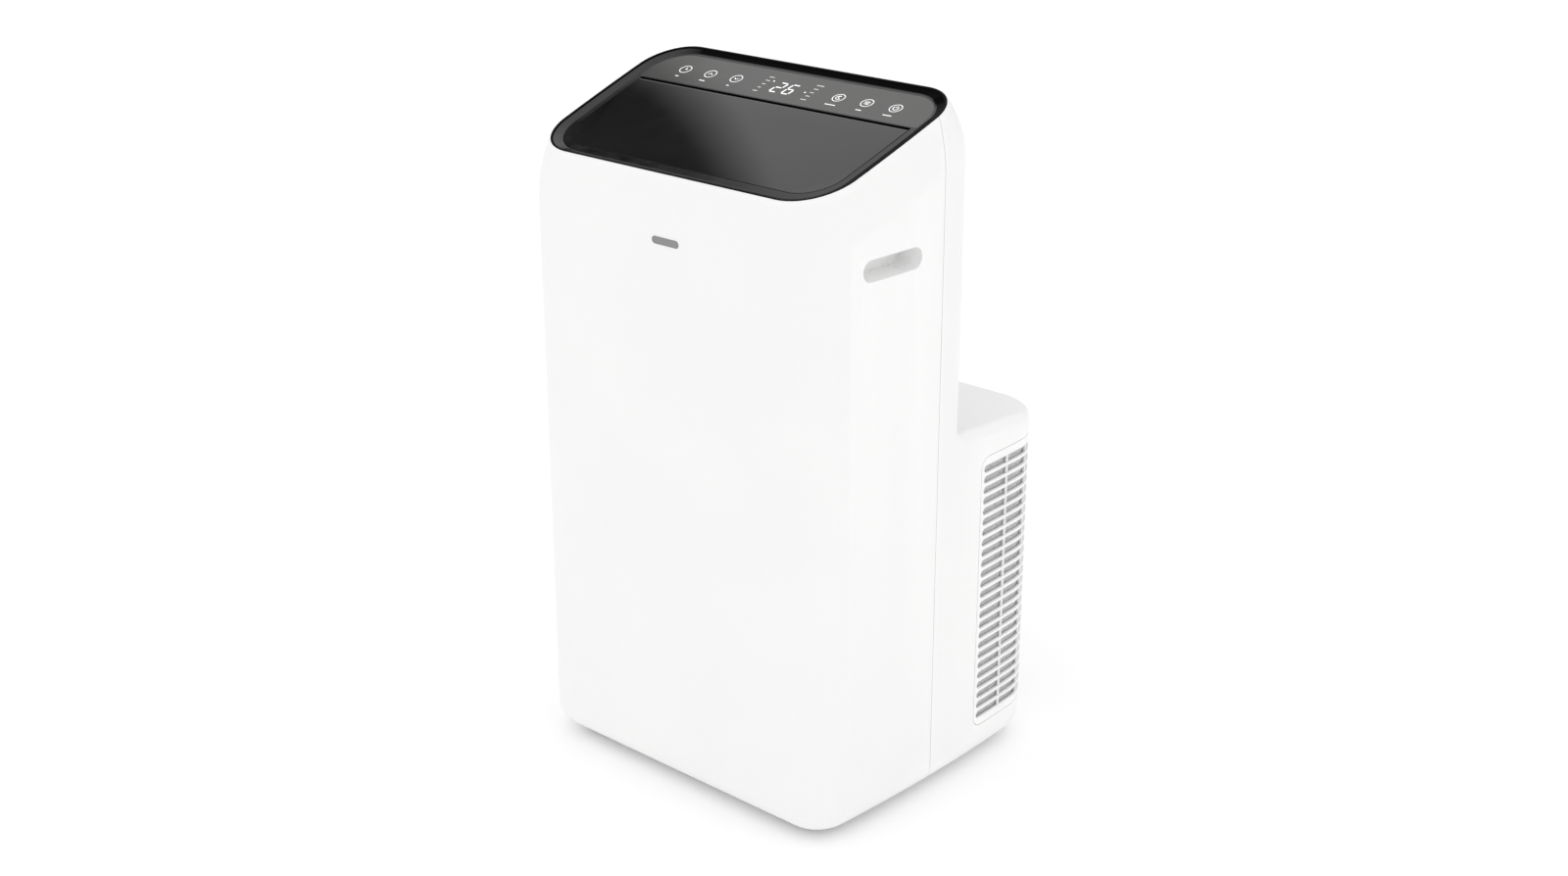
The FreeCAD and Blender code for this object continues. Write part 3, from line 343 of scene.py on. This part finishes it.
def dress_nodes():
    """Gives every node the material of its slot, or its own where it has one."""
    materials = {**white_materials(), **black_materials(), **inner_materials()}
    # The handle cups take a lighter white than the shell: painted light that lifts the shade inside
    # the handle pockets.
    cup = plastic("cup_white_painted_fill", (0.97, 0.97, 0.965), (0.955, 0.957, 0.955), 0.3, edge_radius=0.0)
    own = {"top_bezel": bezel_black(), "handle_cup_left": cup, "handle_cup_right": cup}
    for part in frame["record"]["subparts"]:
        piece = nodes[part["node"]]
        for polygon in piece.data.polygons:
            polygon.material_index = 0
        piece.data.materials.clear()
        piece.data.materials.append(own.get(part["node"], materials[part["material_slot"]]))


# ---------------------------------------------------------------- mesh helpers
def join_loops(mesh, first, second):
    """Faces between two closed rows of as many points."""
    count = len(first)
    for index in range(count):
        following = (index + 1) % count
        mesh.faces.new((first[index], first[following], second[following], second[index]))


def new_piece(name, mesh, material):
    """Makes an object of the mesh, with its faces turned outwards."""
    bmesh.ops.recalc_face_normals(mesh, faces=mesh.faces)
    data = bpy.data.meshes.new(name)
    mesh.to_mesh(data)
    mesh.free()
    data.materials.append(material)
    piece = bpy.data.objects.new(name, data)
    bpy.context.scene.collection.objects.link(piece)
    return piece


# ---------------------------------------------------------------- print on the control glass
def flat_piece(name, outlines, material):
    """One thin piece made of closed outlines on the control strip, given as (x, w) points."""
    mesh = bmesh.new()
    top = LEDGE + PRINT_LIFT
    for outline in outlines:
        low = [mesh.verts.new(rim_point(x, w, top - PRINT_THICKNESS)) for x, w in outline]
        high = [mesh.verts.new(rim_point(x, w, top)) for x, w in outline]
        mesh.faces.new(high)
        mesh.faces.new(list(reversed(low)))
        join_loops(mesh, low, high)
    piece = new_piece(name, mesh, material)
    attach(piece, "cabinet")


def bar(start, end, width):
    """Outline of a straight stroke."""
    first = Vector(start)
    last = Vector(end)
    heading = (last - first).normalized()
    side = Vector((-heading.y, heading.x)) * width / 2
    return [tuple(corner) for corner in (first - side, last - side, last + side, first + side)]


def level_bar(x, w, half, width):
    """Outline of a stroke across the strip, centred on x and w."""
    return bar((x - half, w), (x + half, w), width)


def arc_strokes(centre, radius, width, start, end, steps=32):
    """Outlines of short bars that follow an arc, angles in degrees."""
    count = max(3, int(steps * abs(end - start) / 360))
    inner = radius - width / 2
    outer = radius + width / 2

    def at(reach, step):
        angle = math.radians(start + (end - start) * step / count)
        return (centre[0] + reach * math.cos(angle), centre[1] + reach * math.sin(angle))

    return [
        [at(outer, step), at(outer, step + 1), at(inner, step + 1), at(inner, step)]
        for step in range(count)
    ]


KEY_X = (-133.7, -99.6, -65.2, 65.2, 99.6, 133.7)
KEY_W = 173.0
KEY_RADIUS = 6.3
STROKE = 0.8
LABEL_DROP = 13.4          # from a key's centre down to its label
LABEL_STROKE = 1.1
LABEL_HALF = (2.2, 3.6, 1.6, 6.2, 3.2, 5.0)


def clock(x, w):
    return [bar((x, w), (x, w + 3.2), STROKE), bar((x - 0.4, w), (x + 2.4, w), STROKE)]


def chevron(x, w, up):
    tip = (x, w + 1.6 * up)
    return [bar((x + side * 2.7, w - 1.2 * up), tip, STROKE) for side in (-1, 1)]


def chevron_up(x, w):
    return chevron(x, w, 1)


def chevron_down(x, w):
    return chevron(x, w, -1)


def crescent(x, w):
    outside = arc_strokes((x, w), 3.0, STROKE, 60, 330)
    inside = arc_strokes((x + 1.6, w + 1.2), 2.4, STROKE, 120, 270)
    return outside + inside


def sliders(x, w):
    marks = []
    for offset, knob in ((-2.0, 1.2), (0.0, -1.4), (2.0, 0.6)):
        marks.append(level_bar(x, w + offset, 3, 0.6))
        marks.append(bar((x + knob, w + offset - 0.9), (x + knob, w + offset + 0.9), STROKE))
    return marks


def power(x, w):
    return arc_strokes((x, w), 2.9, STROKE, 125, 415) + [bar((x, w + 0.6), (x, w + 4.0), STROKE)]


KEYS = {
    "timer": clock,
    "up": chevron_up,
    "down": chevron_down,
    "sleep": crescent,
    "mode": sliders,
    "power": power,
}


def make_keys(material):
    """Six ringed symbols, each with a plain dash for a label."""
    for (name, draw), x, half in zip(KEYS.items(), KEY_X, LABEL_HALF):
        ring = arc_strokes((x, KEY_W), KEY_RADIUS, STROKE, 0, 360, 48)
        dash = level_bar(x, KEY_W - LABEL_DROP, half, LABEL_STROKE)
        flat_piece(f"key_{name}", ring + draw(x, KEY_W) + [dash], material)


SEGMENTS = {
    "a": ((0, 2), (1, 2)), "b": ((1, 2), (1, 1)), "c": ((1, 1), (1, 0)), "d": ((0, 0), (1, 0)),
    "e": ((0, 1), (0, 0)), "f": ((0, 2), (0, 1)), "g": ((0, 1), (1, 1)),
}
TWO = "abged"
SIX = "acdefg"
DIGIT_X = (-14.6, 0.6)
DIGIT_W = 163.2
DIGIT_WIDTH = 8.6
SEGMENT_HEIGHT = 8.4
DIGIT_SLANT = 0.17
SEGMENT_GAP = 0.9
SEGMENT_STROKE = 1.25
LEGEND_W = (186.2, 179.6, 173.0, 166.4, 159.8)
LEGENDS = {-29.5: (3.2, 2.6, 2.2, 1.8, 2.8), 32.0: (4.6, 2.6, 2.2, 2.4, 3.2)}
LEGEND_STROKE = 1.0
DOTS = ((-22.2, 180.4), (24.6, 171.4))


def digit(segments, x, w):
    """Strokes of a seven-segment figure, leaning to the right."""
    def corner(across, up):
        rise = up * SEGMENT_HEIGHT
        return Vector((x + across * DIGIT_WIDTH + rise * DIGIT_SLANT, w + rise))

    strokes = []
    for segment in segments:
        first, last = (corner(*end) for end in SEGMENTS[segment])
        gap = (last - first).normalized() * SEGMENT_GAP
        strokes.append(bar(first + gap, last - gap, SEGMENT_STROKE))
    return strokes


def make_display(lit, dim):
    """The figure 26 with its dots, between two columns of plain legends."""
    figures = digit(TWO, DIGIT_X[0], DIGIT_W) + digit(SIX, DIGIT_X[1], DIGIT_W)
    flat_piece("display_digits", figures, lit)
    marks = []
    for x, halves in LEGENDS.items():
        marks += [level_bar(x, w, half, LEGEND_STROKE) for w, half in zip(LEGEND_W, halves)]
    flat_piece("display_legends", marks, dim)
    dots = []
    for centre in DOTS:
        dots += arc_strokes(centre, 0.45, 0.9, 0, 360, 12)
    flat_piece("display_dots", dots, lit)


# ---------------------------------------------------------------- trim
# Inset from the cabinet's rim, and height above its plane
LIP_SECTION = (
    (0.85, -0.5), (0.85, 0.0), (1.3, 0.22), (2.1, 0.3), (2.9, 0.2), (3.4, -0.1), (3.6, -0.55),
)
LIP_CORNER_STEPS = 14
LIP_SIDE_STEPS = 8


def rim_outline(inset, n):
    """Closed line round the sloping top, inset from the cabinet's rim and n above its plane."""
    front_corner = RIM_FRONT_CORNER - inset
    rear_corner = RIM_REAR_CORNER - inset
    side_start = RIM_FRONT_Y + inset + front_corner
    side_end = RIM_REAR_Y - inset - rear_corner

    def side(y):
        sag = SIDE_BOW_RADIUS - math.sqrt(SIDE_BOW_RADIUS ** 2 - (y - SIDE_CREST_Y) ** 2)
        return RIM_HALF_WIDTH - inset - sag

    def corner(y, radius, towards):
        x = side(y) - radius
        points = []
        for step in range(LIP_CORNER_STEPS + 1):
            angle = math.radians(90 * step / LIP_CORNER_STEPS)
            points.append((x + radius * math.sin(angle), y + towards * radius * math.cos(angle)))
        return points

    right = corner(side_start, front_corner, -1)
    for step in range(1, LIP_SIDE_STEPS):
        y = side_start + (side_end - side_start) * step / LIP_SIDE_STEPS
        right.append((side(y), y))
    right += reversed(corner(side_end, rear_corner, 1))
    left = [(-x, y) for x, y in reversed(right)]
    slope = math.tan(RIM_ANGLE)
    level = RIM_FRONT_Z + n / math.cos(RIM_ANGLE)
    return [Vector((x, y, level + (y - RIM_FRONT_Y) * slope)) * MM for x, y in right + left]


def make_lip(material):
    """Thin rolled lip of the black frame, lapped over the shell's inner edge."""
    mesh = bmesh.new()
    loops = [[mesh.verts.new(point) for point in rim_outline(inset, n)] for inset, n in LIP_SECTION]
    for first, second in zip(loops, loops[1:] + loops[:1]):
        join_loops(mesh, first, second)
    for face in mesh.faces:
        face.smooth = True
    lip = new_piece("bezel_lip", mesh, material)
    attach(lip, "cabinet")


BADGE_CENTRE = Vector((1.5, FRONT_Y, 568.0))
BADGE_HALF = 17.0
BADGE_RADIUS = 3.6
BADGE_DEPTH = 0.5
BADGE_STEPS = 12
# Inset as a part of the half length, and depth as a part of the whole depth
BADGE_SECTION = ((0.0, 0.0), (0.0, 0.7), (0.015, 1.0), (0.035, 1.0), (0.045, 0.75))


def make_badge(material):
    """A plain rounded plate on the front, with a raised border and no mark."""
    outline = []
    for side in (1, -1):
        for step in range(BADGE_STEPS + 1):
            angle = math.radians(-90 + 180 * step / BADGE_STEPS)
            reach = BADGE_HALF - BADGE_RADIUS + BADGE_RADIUS * math.cos(angle)
            outline.append((side * reach, side * BADGE_RADIUS * math.sin(angle)))
    mesh = bmesh.new()
    loops = []
    for part, depth in BADGE_SECTION:
        inset = part * BADGE_HALF
        loop = []
        for x, z in outline:
            shrunk_x = x - math.copysign(inset, x)
            shrunk_z = z * (1 - inset / BADGE_RADIUS)
            offset = Vector((shrunk_x, -depth * BADGE_DEPTH, shrunk_z))
            loop.append(mesh.verts.new((BADGE_CENTRE + offset) * MM))
        loops.append(loop)
    for first, second in zip(loops, loops[1:]):
        join_loops(mesh, first, second)
    mesh.faces.new(loops[-1])
    mesh.faces.new(list(reversed(loops[0])))
    badge = new_piece("front_badge", mesh, material)
    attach(badge, "cabinet")


# ---------------------------------------------------------------- stage, lights and camera
FLOOR_HALF = 30.0


def make_floor():
    """A wide pale floor that fades into the white backdrop."""
    mesh = bpy.data.meshes.new("floor")
    corners = [(x * FLOOR_HALF, y * FLOOR_HALF, 0) for x, y in ((-1, -1), (1, -1), (1, 1), (-1, 1))]
    mesh.from_pydata(corners, [], [(0, 1, 2, 3)])
    floor = bpy.data.objects.new("floor", mesh)
    bpy.context.scene.collection.objects.link(floor)
    material, _, shader = new_material("pale_floor")
    shader.inputs["Base Color"].default_value = (0.93, 0.93, 0.93, 1)
    shader.inputs["Roughness"].default_value = 0.9
    shader.inputs["Emission Color"].default_value = (1, 1, 1, 1)
    shader.inputs["Emission Strength"].default_value = 0.12
    mesh.materials.append(material)


FLAG_DIRECTION = (-0.7363, 0.3028, 0.6051)
FLAG_EDGE = (math.cos(math.radians(7.9)), math.cos(math.radians(6.3)))
BEHIND_LEFT = (-0.62, 0.78, 0)
LEVEL_LIGHT = (1.0, 1.0, 1.0)
OVERHEAD_LIGHT = (1.12, 1.12, 1.12)
BEHIND_LEFT_LIGHT = (0.55, 0.55, 0.56)
FLAG_BLACK = (0.0, 0.0, 0.0)


def make_world():
    """White studio light, weaker low down behind the left, with one small black flag.

    The flag is round and out of sight, and is there for the glossy top to mirror.
    """
    world = bpy.data.worlds.new("studio")
    bpy.context.scene.world = world
    world.use_nodes = True
    tree = world.node_tree
    background = tree.nodes["Background"]
    background.inputs["Strength"].default_value = 1.0
    direction = node(tree, "ShaderNodeTexCoord").outputs["Generated"]
    height = along(tree, direction, (0, 0, 1))
    low = span(tree, height, 0.5, 0.25)
    above = span(tree, height, 0.66, 0.9)
    behind = span(tree, along(tree, direction, BEHIND_LEFT), 0.1, 0.9)
    shade = node(tree, "ShaderNodeMath", operation="MULTIPLY")
    tree.links.new(low, shade.inputs[0])
    tree.links.new(behind, shade.inputs[1])
    flag = span(tree, along(tree, direction, FLAG_DIRECTION), *FLAG_EDGE)
    overhead = mix_colours(tree, above, LEVEL_LIGHT, OVERHEAD_LIGHT)
    soft = mix_colours(tree, shade.outputs["Value"], overhead, BEHIND_LEFT_LIGHT)
    tree.links.new(mix_colours(tree, flag, soft, FLAG_BLACK), background.inputs["Color"])


CAMERA_PLACE = (1.36897, -1.52862, 1.10961)
CAMERA_AZIMUTH = 42.082
CAMERA_DOWN = 20.889


def make_camera():
    data = bpy.data.cameras.new("camera")
    data.lens = 50.0
    data.sensor_width = 36.0
    camera = bpy.data.objects.new("camera", data)
    camera.location = CAMERA_PLACE
    camera.rotation_euler = (math.radians(90 - CAMERA_DOWN), 0, math.radians(CAMERA_AZIMUTH))
    bpy.context.scene.collection.objects.link(camera)
    bpy.context.scene.camera = camera


def make_print():
    lit = printed("display_glow", (1.0, 1.0, 1.0), 0.95)
    dim = printed("legend_print", (0.75, 0.75, 0.74), 0.35)
    make_keys(printed("key_print", (0.92, 0.92, 0.92), 0.6))
    make_display(lit, dim)


def make_trim():
    lip_black = plastic(
        "lip_black", (0.003, 0.003, 0.0032), (0.0045, 0.0045, 0.0047), 0.2, edge_radius=0.0,
        specular=0.02)
    make_lip(lip_black)
    make_badge(metal("badge_metal", (0.3, 0.3, 0.305), (0.24, 0.24, 0.245), 0.4, metallic=0.8))


def main():
    make_camera()
    make_floor()
    make_world()
    bpy.context.scene.view_settings.view_transform = "Standard"
    dress_nodes()
    make_print()
    make_trim()


main()
